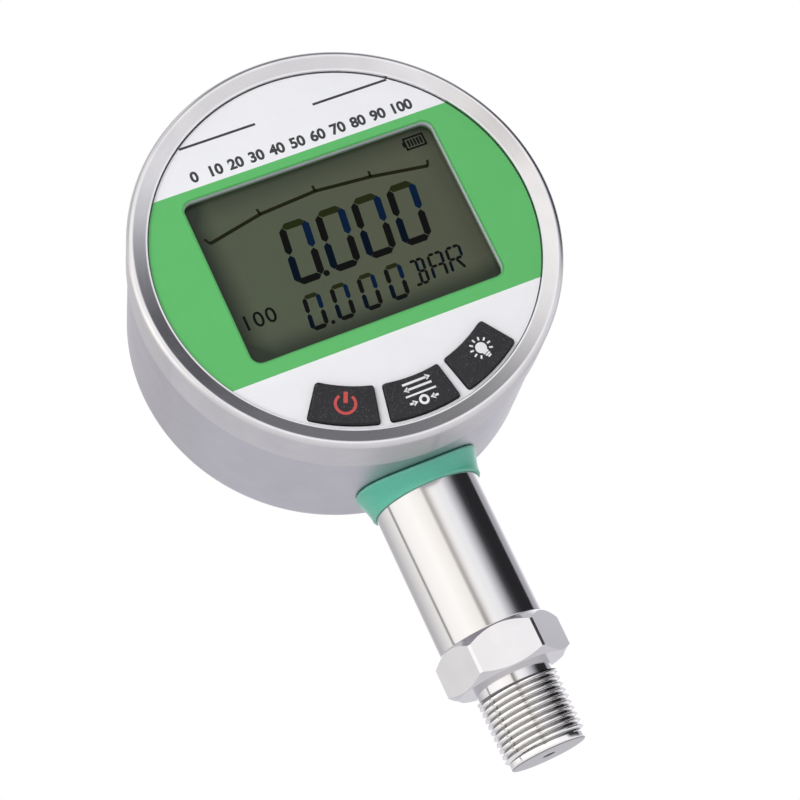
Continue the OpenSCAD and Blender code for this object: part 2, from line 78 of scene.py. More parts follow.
def spunRound(corners, dial=True, steps=256, held=True):
    # corners are (radius, depth or height, softening), on the dial's axis or the stem's
    bm = bmesh.new()
    verts = [bm.verts.new(onDial(r, 0, d) if dial else (r * mm, 0, d * mm)) for r, d, soft in corners]
    for pair in zip(verts, verts[1:] + verts[:1]):
        bm.edges.new(pair)
    for vert, (r, d, soft) in zip(verts, corners):
        if soft:
            rounded(bm, [vert], soft, 4, "VERTICES")
    # loops beside the corners keep the long walls straight in their shading
    for edge in [e for e in bm.edges if held and e.calc_length() > heldWall["longer"] * mm]:
        first, second = edge.verts
        added, vert = bmesh.utils.edge_split(edge, first, heldWall["beside"] * mm / edge.calc_length())
        rest = max(edge, added, key=lambda e: e.calc_length())
        bmesh.utils.edge_split(rest, second, heldWall["beside"] * mm / rest.calc_length())
    bmesh.ops.spin(bm, geom=bm.verts[:] + bm.edges[:], cent=dialAxis if dial else (0, 0, 0),
                   axis=(0, 1, 0) if dial else (0, 0, 1), angle=2 * math.pi, steps=steps, use_merge=True)
    return bm


def mended(bm, turned=True):
    bmesh.ops.remove_doubles(bm, verts=bm.verts, dist=weld["piece"])
    if turned:
        bmesh.ops.recalc_face_normals(bm, faces=bm.faces)
    return bm


def addObject(name, data):
    made = bpy.data.objects.new(name, data)
    bpy.context.scene.collection.objects.link(made)
    return made


def meshPiece(bm, name):
    mesh = bpy.data.meshes.new(name)
    bm.to_mesh(mesh)
    bm.free()
    return addObject(name, mesh)


def madePiece(bm, name, body, materials, replaces=(), angle=32, turned=True):
    mended(bm, turned)
    for face in bm.faces:
        face.smooth = True
    for edge in bm.edges:
        edge.smooth = len(edge.link_faces) == 2 and edge.calc_face_angle(math.pi) < math.radians(angle)
    piece = meshPiece(bm, name)
    for material in materials:
        piece.data.materials.append(material)
    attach(piece, body)
    if replaces:
        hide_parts(*replaces)


def nodeCopy(name):
    # a copy of a CAD node with its loose triangles merged
    bm = bmesh.new()
    bm.from_mesh(nodes[name].data)
    bmesh.ops.remove_doubles(bm, verts=bm.verts, dist=weld["node"])
    bmesh.ops.dissolve_degenerate(bm, edges=bm.edges, dist=1e-7)
    return bm


def extruded(bm, faces, push):
    made = bmesh.ops.extrude_face_region(bm, geom=list(faces))
    moved = [v for v in made["geom"] if isinstance(v, bmesh.types.BMVert)]
    bmesh.ops.translate(bm, verts=moved, vec=push)


def sliced(bm, place, dist=1e-7, **clear):
    # cuts the whole mesh level at a place, and returns the edges of the cut
    cut = bmesh.ops.bisect_plane(bm, geom=bm.verts[:] + bm.edges[:] + bm.faces[:], dist=dist, plane_co=place,
                                 plane_no=(0, 0, 1), **clear)
    return [e for e in cut["geom_cut"] if isinstance(e, bmesh.types.BMEdge)]


def addParts(bm, part, moves=((0, 0, 0),)):
    # adds a finished part to bm, once for each move
    mesh = bpy.data.meshes.new("part")
    part.to_mesh(mesh)
    part.free()
    for move in moves:
        before = len(bm.verts)
        bm.from_mesh(mesh)
        bm.verts.ensure_lookup_table()
        bmesh.ops.translate(bm, verts=bm.verts[before:], vec=move)
    bpy.data.meshes.remove(mesh)


def addPin(bm, place, axis, radius, length, segments=48):
    turned = Vector(axis).to_track_quat("Z", "Y").to_matrix().to_4x4()
    bmesh.ops.create_cone(bm, cap_ends=True, segments=segments, radius1=radius * mm, radius2=radius * mm,
                          depth=length * mm,
                          matrix=Matrix.Translation(Vector(place) + Vector(axis) * length * mm / 2) @ turned)


def cutOut(bm, cutter):
    # takes the cutter's shape out of bm, and returns what is left
    body, tool = meshPiece(bm, "body"), meshPiece(cutter, "tool")
    boolean = body.modifiers.new("cut", "BOOLEAN")
    boolean.object, boolean.operation, boolean.solver = tool, "DIFFERENCE", "EXACT"
    left = bpy.data.meshes.new_from_object(body.evaluated_get(bpy.context.evaluated_depsgraph_get()))
    cut = bmesh.new()
    cut.from_mesh(left)
    for made in (body, tool):
        bpy.data.objects.remove(made)
    bpy.data.meshes.remove(left)
    return cut


# Building materials

def addNode(tree, kind, inputs=None, **settings):
    node = tree.nodes.new(kind)
    for name, value in settings.items():
        setattr(node, name, value)
    for name, value in (inputs or {}).items():
        if isinstance(value, bpy.types.NodeSocket):
            tree.links.new(value, node.inputs[name])
        else:
            node.inputs[name].default_value = value
    return node


def worked(tree, operation, first, second=None):
    inputs = {0: first} if second is None else {0: first, 1: second}
    return addNode(tree, "ShaderNodeMath", inputs, operation=operation).outputs["Value"]


def axesOf(tree, vector):
    return addNode(tree, "ShaderNodeSeparateXYZ", {"Vector": vector}).outputs


def lengthOf(tree, vector):
    return addNode(tree, "ShaderNodeVectorMath", {0: vector}, operation="LENGTH").outputs["Value"]


def mixColour(tree, factor, first, second):
    node = addNode(tree, "ShaderNodeMix", data_type="RGBA")
    for socket, value in ((node.inputs[0], factor), (node.inputs[6], first), (node.inputs[7], second)):
        if isinstance(value, bpy.types.NodeSocket):
            tree.links.new(value, socket)
        else:
            socket.default_value = (*value, 1) if isinstance(value, tuple) and len(value) == 3 else value
    return node.outputs[2]


def mixShader(tree, factor, first, second):
    return addNode(tree, "ShaderNodeMixShader", {0: factor, 1: first, 2: second}).outputs["Shader"]


def spread(tree, value, low, high, fromLow=0.3, fromHigh=0.7, **settings):
    node = addNode(tree, "ShaderNodeMapRange", {"Value": value, "From Min": fromLow, "From Max": fromHigh,
                                                "To Min": low, "To Max": high}, **settings)
    return node.outputs["Result"]


def noise(tree, vector, size, detail=2.0):
    # size is the pattern's grain in millimetres
    return addNode(tree, "ShaderNodeTexNoise", {"Vector": vector, "Scale": 1 / (size * mm), "Detail": detail,
                                                "Roughness": 0.55}).outputs["Fac"]


def feed(shader, socket, value):
    shader.id_data.links.new(value, shader.inputs[socket])


def readBy(shader, socket):
    return shader.inputs[socket].links[0].from_socket


def bumped(tree, shader, height, deep):
    # deep is the height of the bumps in millimetres
    bump = addNode(tree, "ShaderNodeBump", {"Height": height, "Distance": deep * mm, "Strength": 1.0})
    feed(shader, "Normal", bump.outputs["Normal"])


def coords(tree):
    return addNode(tree, "ShaderNodeTexCoord").outputs["Object"]


def shaderOf(material):
    return material.node_tree, material.node_tree.nodes["Principled BSDF"]


def baseMaterial(name, colour, rough, metal=0.0, **sockets):
    material = bpy.data.materials.new(name)
    material.use_nodes = True
    tree, shader = shaderOf(material)
    shader.inputs["Base Color"].default_value = (*colour, 1)
    shader.inputs["Roughness"].default_value = rough
    shader.inputs["Metallic"].default_value = metal
    for socket, value in sockets.items():
        shader.inputs[socket.replace("_", " ")].default_value = value
    return material, tree, shader


def fromPlace(tree, where, place):
    return addNode(tree, "ShaderNodeMapping", {"Vector": where, "Location": -place}).outputs["Vector"]


def joined(tree, **axes):
    return addNode(tree, "ShaderNodeCombineXYZ", axes).outputs["Vector"]


def lathe(tree, where, along):
    # radius, place along the axis and a slow turn round it, for marks that run round a turned piece
    split = axesOf(tree, fromPlace(tree, where, dialAxis if along == "dial" else Vector((0, 0, 0))))
    side, axis = (split["Z"], split["Y"]) if along == "dial" else (split["Y"], split["Z"])
    slow = worked(tree, "MULTIPLY", worked(tree, "ARCTAN2", side, split["X"]), 0.002)
    return joined(tree, X=lengthOf(tree, joined(tree, X=split["X"], Y=side)), Y=axis, Z=slow)


steelLook = {"patch": 9, "markShade": 0.72, "roughFrom": (0.6, 1.4)}
plasticLook = {"broad": 14, "broadShade": 0.9, "uneven": 0.06, "dots": 0.7, "dotsFrom": (0.69, 0.74)}


def steel(name, colour, rough, along, mark=0.25, deep=0.0004, uneven=0.05, tint=(0.94, 0.94, 0.95), contrast=0.2):
    # turning marks of mark millimetres round an axis, or grain where along is None, over broad patches
    material, tree, shader = baseMaterial(name, colour, rough, 1.0)
    where = coords(tree)
    marks = noise(tree, lathe(tree, where, along) if along else where, mark, 3)
    patches = noise(tree, where, steelLook["patch"])
    shade = mixColour(tree, spread(tree, patches, 0, 1), colour, tuple(c * t for c, t in zip(colour, tint)))
    fine = mixColour(tree, spread(tree, marks, 0.0, contrast), shade,
                     tuple(c * steelLook["markShade"] for c in colour))
    feed(shader, "Base Color", fine)
    both = worked(tree, "ADD", marks, patches)
    feed(shader, "Roughness", spread(tree, both, rough - uneven, rough + uneven, *steelLook["roughFrom"]))
    bumped(tree, shader, marks, deep)
    return material


def plastic(name, colour, rough, grain=0.4, deep=0.004, second=None, speck=None, **sockets):
    # fine grain over broad clouds of a second colour, with small specks where it has a colour for them
    material, tree, shader = baseMaterial(name, colour, rough, **sockets)
    where = coords(tree)
    fine = noise(tree, where, grain, 3)
    broad = noise(tree, where, grain * plasticLook["broad"])
    shade = mixColour(tree, spread(tree, broad, 0, 1), colour,
                      second or tuple(c * plasticLook["broadShade"] for c in colour))
    if speck:
        dots = noise(tree, where, grain * plasticLook["dots"], 1)
        shade = mixColour(tree, spread(tree, dots, 0, 1, *plasticLook["dotsFrom"]), shade, speck)
    feed(shader, "Base Color", shade)
    feed(shader, "Roughness", spread(tree, fine, rough - plasticLook["uneven"], rough + plasticLook["uneven"]))
    bumped(tree, shader, fine, deep)
    return material


print("helpers ready")

# Camera, floor and light

view = {"lens": 97.37, "place": (-0.12881, -0.47442, -0.07612),
        "right": (0.90244, -0.12247, -0.41304), "up": (0.34462, -0.37013, 0.86269),
        "back": (-0.25853, -0.92087, -0.29182), "clip": (0.01, 20)}
camera = addObject("camera", bpy.data.cameras.new("camera"))
camera.data.lens = view["lens"]
camera.data.clip_start, camera.data.clip_end = view["clip"]
turn = Matrix((view["right"], view["up"], view["back"])).transposed()
camera.matrix_world = Matrix.Translation(view["place"]) @ turn.to_4x4()
bpy.context.scene.camera = camera
bpy.context.scene.view_settings.view_transform = "Standard"

# metal sees a paler floor in front and a darker one behind; whiteFrom is where it turns white for the camera
floorStyle = {"level": -0.09, "size": 4.0, "colour": (0.86, 0.86, 0.87), "patch": (0.84, 0.84, 0.85), "patchSize": 40,
              "rough": 0.7, "near": (1.02, 1.0, 1.01), "far": (0.8, 0.79, 0.84), "nearToFar": (-0.3, 0.25),
              "whiteFrom": (0.16, 0.42)}
bm = bmesh.new()
bmesh.ops.create_grid(bm, x_segments=2, y_segments=2, size=floorStyle["size"] / 2)
bmesh.ops.translate(bm, verts=bm.verts, vec=(0, 0, floorStyle["level"]))
floor = meshPiece(bm, "floor")
floorPaint, tree, shader = baseMaterial("floorPaint", floorStyle["colour"], floorStyle["rough"])
patches = spread(tree, noise(tree, coords(tree), floorStyle["patchSize"]), 0, 1)
feed(shader, "Base Color", mixColour(tree, patches, floorStyle["colour"], floorStyle["patch"]))
paths = addNode(tree, "ShaderNodeLightPath").outputs
deep = spread(tree, axesOf(tree, coords(tree))["Y"], 0, 1, *floorStyle["nearToFar"])
pale = addNode(tree, "ShaderNodeEmission", {"Color": mixColour(tree, deep, floorStyle["near"], floorStyle["far"])})
ends = mixShader(tree, paths["Is Glossy Ray"], shader.outputs["BSDF"], pale.outputs["Emission"])
reach = spread(tree, lengthOf(tree, coords(tree)), 0, 1, *floorStyle["whiteFrom"])
plain = addNode(tree, "ShaderNodeEmission", {"Color": (1, 1, 1, 1), "Strength": 1.0})
ground = mixShader(tree, worked(tree, "MULTIPLY", paths["Is Camera Ray"], reach), ends, plain.outputs["Emission"])
feed(tree.nodes["Material Output"], "Surface", ground)
floor.data.materials.append(floorPaint)

# The studio that metal and glass reflect: a pale panel in front and on the left, with a soft dark gap above the
# camera, a dark card with a pale wedge below it on the right, a pale wall behind, and a thin dark line on the left.
# Turns run from +X towards +Y, in degrees. Each At is a change: its strength at the lower and the higher end, and
# the two heights between which it happens.
studio = {
    "round": [(-180, (1.5, 1.48, 1.45)), (-145, (1.62, 1.6, 1.56)), (-122, (1.48, 1.44, 1.39)),
              (-108, (1.38, 1.34, 1.3)), (-96, (1.4, 1.38, 1.36)), (-86, (1.42, 1.42, 1.42)),
              (-66, (1.28, 1.29, 1.33)), (-62, (1.1, 1.1, 1.16)), (-56, (0.86, 0.86, 0.91)),
              (-49, (0.58, 0.59, 0.63)), (-43, (0.3, 0.3, 0.33)), (-36, (0.08, 0.08, 0.09)),
              (-29, (0.045, 0.045, 0.05)), (-22, (0.03, 0.03, 0.035)), (10, (0.03, 0.03, 0.035)),
              (11.5, (0.5, 0.49, 0.54)), (28, (0.66, 0.65, 0.7)), (46, (1.36, 1.35, 1.4)),
              (76, (1.38, 1.37, 1.41)), (90, (1.02, 1.01, 1.04)), (104, (0.66, 0.65, 0.68)),
              (120, (0.72, 0.71, 0.74)), (135, (0.92, 0.91, 0.92)), (163, (1.3, 1.28, 1.26)),
              (166, (0.4, 0.4, 0.4)), (169, (0.4, 0.4, 0.4)), (172, (1.45, 1.43, 1.4))],
    "above": [(-180, (0.75, 0.74, 0.73)), (-150, (0.65, 0.64, 0.63)), (-125, (0.95, 0.94, 0.92)),
              (-105, (1.3, 1.28, 1.26)), (-96, (1.1, 1.08, 1.07)), (-88, (0.85, 0.85, 0.86)),
              (-80, (0.42, 0.42, 0.43)), (-72, (0.31, 0.31, 0.32)), (-60, (0.25, 0.25, 0.26)),
              (-42, (0.17, 0.17, 0.18)), (-20, (0.36, 0.36, 0.39)), (30, (0.75, 0.75, 0.79)),
              (160, (0.8, 0.8, 0.82))],
    "below": [(-180, (1.3, 1.28, 1.26)), (-90, (1.25, 1.25, 1.27)), (-40, (1.1, 1.08, 1.08)),
              (20, (0.8, 0.8, 0.84)), (90, (0.84, 0.83, 0.87)), (140, (0.95, 0.94, 0.97))],
    "wedge": [(-180, 0), (-76, 0), (-64, 1), (-42, 1), (-28, 0), (180, 0)],
    "gap": [(-111.5, 0), (-107.5, 1), (-104, 1), (-101, 0.75), (-98, 0.35), (-95, 0.2), (-92, 0)],
    "wedgeColour": (1.05, 1.05, 1.09), "fill": (0.42, 0.42, 0.43), "white": (1, 1, 1),
    "leanAt": (-0.11, 0.075, 0.05, 0.38), "aboveAt": (0, 1, 0.56, 0.72), "belowAt": (1, 0, -0.05, 0.06),
    "wedgeAt": (1, 0, 0.11, 0.17), "gapFootAt": (0.2, 1, 0.105, 0.135), "gapMiddleAt": (0.3, 0, 0.155, 0.2),
    "gapTopAt": (0.5, 0, 0.26, 0.33)}
world = bpy.data.worlds.new("studio")
bpy.context.scene.world = world
world.use_nodes = True
tree = world.node_tree
tree.nodes.clear()
split = axesOf(tree, addNode(tree, "ShaderNodeTexCoord").outputs["Generated"])
at = {name: spread(tree, split["Z"], *change) for name, change in studio.items() if name.endswith("At")}
# the panels lean a little, so their edges move with the height
leaning = worked(tree, "ADD", worked(tree, "ARCTAN2", split["Y"], split["X"]), at["leanAt"])
share = spread(tree, leaning, 0, 1, -math.pi, math.pi)


def band(stops, strength=0.5):
    # colours are held at half their strength, because a ramp holds no more than 1
    ramp = addNode(tree, "ShaderNodeValToRGB", {"Fac": share})
    ramp.color_ramp.interpolation = "LINEAR"
    for index, (angle, colour) in enumerate(stops):
        place = (angle + 180) / 360
        spot = ramp.color_ramp.elements[index] if index < 2 else ramp.color_ramp.elements.new(place)
        spot.position = place
        spot.color = (*[c * strength for c in colour], 1)
    return ramp.outputs["Color"]


def greyBand(stops):
    return band([(angle, [part] * 3) for angle, part in stops], 1)


def glow(colour, strength=1.0):
    return addNode(tree, "ShaderNodeBackground", {"Color": colour, "Strength": strength}).outputs["Background"]


wedge = worked(tree, "MULTIPLY", greyBand(studio["wedge"]), at["wedgeAt"])
seen = mixColour(tree, wedge, band(studio["round"]), tuple(c / 2 for c in studio["wedgeColour"]))
upper = worked(tree, "MULTIPLY", worked(tree, "ADD", at["gapTopAt"], at["gapMiddleAt"]), at["gapFootAt"])
seen = mixColour(tree, worked(tree, "MULTIPLY", greyBand(studio["gap"]), upper), seen, (0, 0, 0))
seen = mixColour(tree, at["aboveAt"], seen, band(studio["above"]))
seen = mixColour(tree, at["belowAt"], seen, band(studio["below"]))
paths = addNode(tree, "ShaderNodeLightPath").outputs
shown = glow((*studio["white"], 1))
whole = mixShader(tree, paths["Is Glossy Ray"], glow((*studio["fill"], 1)), glow(seen, 2.0))
whole = mixShader(tree, paths["Is Transmission Ray"], whole, shown)
whole = mixShader(tree, paths["Is Camera Ray"], whole, shown)
addNode(tree, "ShaderNodeOutputWorld", {"Surface": whole})

# each lamp is its place, size, power and colour, and all of them aim at one place
lamps = {"leftPanel": ((-0.55, -0.75, 0.35), 0.6, 4.7, (1, 0.985, 0.965)),
         "rightPanel": ((0.45, -0.85, 0.3), 0.5, 0.35, (0.97, 0.98, 1)),
         "topPanel": ((0.1, 0.1, 0.9), 0.7, 2.6, (1, 1, 1)),
         "rearPanel": ((0.3, 0.9, 0.35), 0.6, 3.0, (1, 1, 1))}
lampAim = Vector((0, 0, 0.08))
for name, (place, size, power, colour) in lamps.items():
    lamp = bpy.data.lights.new(name, "AREA")
    lamp.shape, lamp.size, lamp.energy, lamp.color = "SQUARE", size, power, colour
    panel = addObject(name, lamp)
    panel.location = place
    panel.rotation_euler = (lampAim - Vector(place)).to_track_quat("-Z", "Y").to_euler()
    panel.visible_glossy = False
print("camera, floor and light ready")

# Bezel ring: a flat inner edge, a cone and a round lip, with a rougher outer wall

bezel = {"outer": 50.0, "rise": 1.9, "inner": 45.2, "seam": 10.1, "flatTo": 45.6, "slope": 19.4, "lip": 1.25,
         "lipSteps": 24, "soft": 0.06, "seamSoft": 0.12, "back": 0.3, "ledge": 47.2, "ledgeBack": 1.9, "skirt": 48.4,
         "steps": 360, "colour": (0.67, 0.66, 0.67), "rough": 0.22, "wallRough": 0.33, "wallFrom": (49.7, 49.95)}
bezelSteel = steel("bezelSteel", bezel["colour"], bezel["rough"], "dial", mark=0.2, deep=0.0001, contrast=0.06)
tree, shader = shaderOf(bezelSteel)
wall = spread(tree, axesOf(tree, lathe(tree, coords(tree), "dial"))["X"], 0, bezel["wallRough"],
              *[r * mm for r in bezel["wallFrom"]])
feed(shader, "Roughness", worked(tree, "ADD", readBy(shader, "Roughness"), wall))
slope = math.radians(bezel["slope"])
coneWide = bezel["outer"] - bezel["lip"] * (1 + math.sin(slope)) - bezel["flatTo"]
bezel["flatAt"] = bezel["lip"] * (1 - math.cos(slope)) - bezel["rise"] + coneWide * math.tan(slope)
profile = cornersOf(bezel, "inner back", "inner flatAt soft", "flatTo flatAt soft")
for count in range(bezel["lipSteps"] + 1):
    turn = (math.pi / 2 + slope) * count / bezel["lipSteps"] - slope
    profile.append((bezel["outer"] + bezel["lip"] * (math.sin(turn) - 1),
                    bezel["lip"] * (1 - math.cos(turn)) - bezel["rise"], 0))
profile += cornersOf(bezel, "outer seam seamSoft", "skirt seam", "skirt ledgeBack", "ledge ledgeBack", "ledge back")
madePiece(spunRound(profile, steps=bezel["steps"]), "bezelRing", "housing", [bezelSteel],
          ["bezel_ring"], 24)

# Case, drawn from one sheet, with holes for the stem and the rivet nuts

case = {"outer": 49.55, "wall": 1.5, "back": 48.1, "edge": 3.4, "innerEdge": 1.9, "soft": 0.1, "seamSoft": 0.15,
        "hatch": 28.6, "neck": 48.2, "front": 2.7, "stemHole": 10.05, "stemHoleDown": 56, "stemHoleLong": 20,
        "nutRing": 34.1, "nutTurns": (50, 130, 230, 310), "nutHole": 2.45, "nutHoleLong": 8,
        "colour": (0.565, 0.555, 0.585), "rough": 0.42}
caseSteel = steel("caseSteel", case["colour"], case["rough"], "dial", mark=0.18, deep=0.0001,
                  tint=(0.96, 0.96, 0.97), contrast=0.06)
case.update(seam=bezel["seam"], shoulder=bezel["seam"] + case["wall"], inner=case["outer"] - case["wall"],
            mouth=case["neck"] - case["wall"], inside=case["back"] - case["wall"])
shell = mended(spunRound(cornersOf(
    case, "neck front soft", "neck seam", "outer seam seamSoft", "outer back edge", "hatch back soft",
    "hatch inside soft", "inner inside innerEdge", "inner shoulder", "mouth shoulder", "mouth front")))
drills = bmesh.new()
addPin(drills, (0, 0, dialZ - case["stemHoleDown"] * mm), (0, 0, 1), case["stemHole"], case["stemHoleLong"], 64)
for turn in case["nutTurns"]:
    addPin(drills, onDial(*roundDial(case["nutRing"], turn), case["back"] - case["nutHoleLong"] / 2), (0, 1, 0),
           case["nutHole"], case["nutHoleLong"])
madePiece(cutOut(shell, drills), "caseShell", "housing", [caseSteel], ["case_shell"], 24)
print("bezel and case ready")

# Printed sheet with its green band, the rules and a plain scale, and a thin dark ring at its edge as painted shadow
# of the gap to the bezel

sheet = {"bandLow": -23.5, "bandHigh": 25.7, "ink": 0.02, "shadowRing": (44.96, 45.14), "shadowRingSteps": 256,
         "ruleAt": 36.2, "ruleFrom": 7.3, "ruleWidth": 0.6, "ruleTop": 0.4, "ruleWithin": 45.1,
         "scaleAt": 27.2, "scaleSize": 3.7, "scaleStep": 5.15, "scaleWeight": 0.14, "lastShift": 0.8}
printColours = {"whitePrint": ((0.86, 0.865, 0.89), (0.84, 0.845, 0.87)),
                "greenPrint": ((0.085, 0.455, 0.112), (0.09, 0.465, 0.122))}
prints = [plastic(name, first, 0.36, grain=0.5, deep=0.0002, second=second, Coat_Weight=0.12, Coat_Roughness=0.2)
          for name, (first, second) in printColours.items()]
# black ink for the print, and for the painted shadow ring at the sheet's edge
inkBlack = plastic("inkBlack", (0.028, 0.028, 0.032), 0.45, grain=0.3, deep=0.001)
bm = nodeCopy("panel_overlay")
for level in (sheet["bandLow"], sheet["bandHigh"]):
    sliced(bm, onDial(0, level), 1e-6)
for face in bm.faces:
    level = (face.calc_center_median().z - dialZ) / mm
    face.material_index = 1 if sheet["bandLow"] < level < sheet["bandHigh"] else 0
madePiece(bm, "panelSheet", "housing", prints, ["panel_overlay"], turned=False)


def stroke(bm, start, end, width, depth, pointed=False, material=0):
    # a flat bar between two places on the dial, square or pointed at its ends
    start, end = Vector(start), Vector(end)
    along = (end - start).normalized()
    across = Vector((-along.y, along.x)) * width / 2
    tip = along * width / 2 if pointed else Vector((0, 0))
    spots = [start + tip - across, end - tip - across, end, end - tip + across, start + tip + across, start]
    if not pointed:
        spots = [spots[0], spots[1], spots[3], spots[4]]
    face = bm.faces.new([bm.verts.new(onDial(p.x, p.y, depth)) for p in spots])
    face.material_index = material


def upright(x, z, depth):
    return Matrix.Translation(onDial(x, z, depth)) @ Matrix.Rotation(math.pi / 2, 4, "X")


def disc(bm, x, z, radius, depth, segments=24):
    bmesh.ops.create_circle(bm, cap_ends=True, segments=segments, radius=radius * mm, matrix=upright(x, z, depth))


def lettering(bm, words, x, z, size, depth, weight, spacing=1.0):
    curve = bpy.data.curves.new("words", "FONT")
    curve.body, curve.size, curve.align_x = words, size * mm, "CENTER"
    curve.offset, curve.space_character, curve.resolution_u = weight * mm, spacing, 6
    carrier = addObject("words", curve)
    mesh = bpy.data.meshes.new_from_object(carrier.evaluated_get(bpy.context.evaluated_depsgraph_get()))
    mesh.transform(upright(x, z, depth))
    bm.from_mesh(mesh)
    bpy.data.objects.remove(carrier)


def turnedOnDial(bm, verts, degrees):
    bmesh.ops.rotate(bm, verts=verts, cent=dialAxis, matrix=Matrix.Rotation(math.radians(degrees), 3, "Y"))


def inked(bm, name, body, materials, thick, turn=0):
    # flat shapes are given their thickness of ink towards the back, then turned about the dial
    bmesh.ops.remove_doubles(bm, verts=bm.verts, dist=weld["ink"])
    extruded(bm, bm.faces, (0, thick * mm, 0))
    turnedOnDial(bm, bm.verts, -turn)
    madePiece(bm, name, body, materials)


bm = bmesh.new()
reach = math.sqrt(sheet["ruleWithin"] ** 2 - (sheet["ruleAt"] + sheet["ruleTop"]) ** 2)
for side in (-1, 1):
    stroke(bm, (side * sheet["ruleFrom"], sheet["ruleAt"]), (side * reach, sheet["ruleAt"]), sheet["ruleWidth"],
           -sheet["ink"])
for count in range(11):
    spot = (count - 5) * sheet["scaleStep"] + (sheet["lastShift"] if count == 10 else 0)
    lettering(bm, str(count * 10), spot, sheet["scaleAt"], sheet["scaleSize"], -sheet["ink"], sheet["scaleWeight"])
# painted shadow: a thin dark ring at the sheet's edge stands in for the shade in the gap between the sheet and the
# bezel
ends = [bm.verts.new(onDial(r, 0, -sheet["ink"])) for r in sheet["shadowRing"]]
bmesh.ops.spin(bm, geom=[*ends, bm.edges.new(ends)], cent=onDial(0, 0, -sheet["ink"]), axis=(0, 1, 0),
               angle=2 * math.pi, steps=sheet["shadowRingSteps"], use_merge=True)
inked(bm, "panelInkAndShadow", "housing", [inkBlack], sheet["ink"])
print("printed sheet ready")

# Display: its ground, and dark segments just in front of the glass

display = {"width": 62.6, "height": 42.7, "up": 1.7, "front": 2.2, "ink": 0.03, "lean": 7.1, "gap": 0.077}
# painted shade: the ground is darker towards its edges, standing in for the shadow of the recess walls; each least is
# how much of that is left at the far side. Its lit colour also shifts from left to right, as painted light.
glass = {"colour": (0.085, 0.105, 0.07), "rough": 0.28, "left": (0.068, 0.087, 0.051), "right": (0.071, 0.078, 0.046),
         "cloud": (0.065, 0.076, 0.048), "cloudSize": 12, "edge": (0.016, 0.024, 0.012), "wallShadeWide": 7,
         "wallShadeFull": 0.2, "leastAcross": 0.3, "leastUp": 0.55, "half": 31, "grain": 0.12, "deep": 0.0004}


def displayGround():
    material, tree, shader = baseMaterial("displayGround", glass["colour"], glass["rough"], Specular_IOR_Level=0.22)
    where = fromPlace(tree, coords(tree), onDial(0, display["up"], display["front"]))
    split = axesOf(tree, where)
    sides = []
    # painted shade of the recess walls near each edge, weaker towards the far side
    for axis, half, least in (("X", display["width"] / 2, glass["leastAcross"]),
                              ("Z", display["height"] / 2, glass["leastUp"])):
        near = spread(tree, worked(tree, "ABSOLUTE", split[axis]), 0, 1, (half - glass["wallShadeWide"]) * mm,
                      (half - glass["wallShadeFull"]) * mm, interpolation_type="SMOOTHSTEP")
        share = spread(tree, split[axis], 1, least, -half * mm, half * mm)
        sides.append(worked(tree, "MULTIPLY", near, share))
    # painted light: the lit colour shifts from the left one to the right one
    across = spread(tree, split["X"], 0, 1, -glass["half"] * mm, glass["half"] * mm)
    lit = mixColour(tree, across, glass["left"], glass["right"])
    clouds = spread(tree, noise(tree, where, glass["cloudSize"]), 0, 0.5)
    shade = mixColour(tree, worked(tree, "ADD", *sides), mixColour(tree, clouds, lit, glass["cloud"]), glass["edge"])
    feed(shader, "Base Color", shade)
    bumped(tree, shader, noise(tree, where, glass["grain"]), glass["deep"])


segmentColours = {"segmentBlack": (0.006, 0.0055, 0.0055), "segmentOlive": (0.018, 0.023, 0.007),
                  "segmentNavy": (0.003, 0.013, 0.04), "segmentDusk": (0.002, 0.006, 0.014),
                  "segmentArc": (0.014, 0.015, 0.006)}
segmentInks = [plastic(name, colour, 0.5, grain=0.2, deep=0.0004, Specular_IOR_Level=0.02)
               for name, colour in segmentColours.items()]
# each bar is its start, its end and its ink, in halves of the character's width and height
digitBars = {"a": ((0, 2), (1, 2), 1), "b": ((1, 2), (1, 1), 2), "c": ((1, 1), (1, 0), 0),
             "d": ((0, 0), (1, 0), 0), "e": ((0, 1), (0, 0), 3), "f": ((0, 2), (0, 1), 0)}
letterBars = {**digitBars, "a1": ((0, 2), (0.5, 2), 0), "a2": ((0.5, 2), (1, 2), 0), "b": ((1, 2), (1, 1), 3),
              "d1": ((0, 0), (0.5, 0), 0), "d2": ((0.5, 0), (1, 0), 0), "g1": ((0, 1), (0.5, 1), 0),
              "g2": ((0.5, 1), (1, 1), 0), "i": ((0.5, 2), (0.5, 1), 3), "l": ((0.5, 1), (0.5, 0), 0),
              "k": ((0.5, 1), (1, 0), 0)}
# each row is its left end, its step, and the foot, width, height and thickness of its characters
digitRows = [(-14.4, 9.05, -4.6, 7.4, 15.7, 1.7), (-15.55, 6.77, -16.1, 4.4, 8.9, 1.05)]
letterSize = (-14.6, 3.9, 6.6, 0.68)
points = [(-6.6, -3.85, 0.75), (-10.1, -15.55, 0.48)]
letterRow = [(11.0, "a1 a2 b c d1 d2 g2 i l"), (15.75, "a1 a2 b c e f g1 g2"), (20.4, "a1 a2 b e f g1 g2 k")]
# the arc above the digits runs through these places, and its ticks lean by the third number
arc = {"through": [(-28.4, 12.5, -0.8), (-14.8, 15.3, -0.3), (-0.6, 16.2, -0.1), (13.0, 15.0, 0.1),
                   (26.8, 12.8, 0.5)], "line": 0.85, "tick": 0.6, "tickHigh": 1.5, "ink": 4}
cellSign = {"lines": [((23.9, 18.3), (29.1, 18.3)), ((23.9, 21.2), (29.1, 21.2)), ((24.1, 18.3), (24.1, 21.2)),
                      ((28.95, 18.3), (28.95, 21.2)), ((23.65, 19.1), (23.65, 20.4))], "line": 0.45,
            "bars": 5, "from": 25.0, "step": 0.78, "low": 18.85, "high": 20.65, "bar": 0.48}
plane = display["front"] - display["ink"]


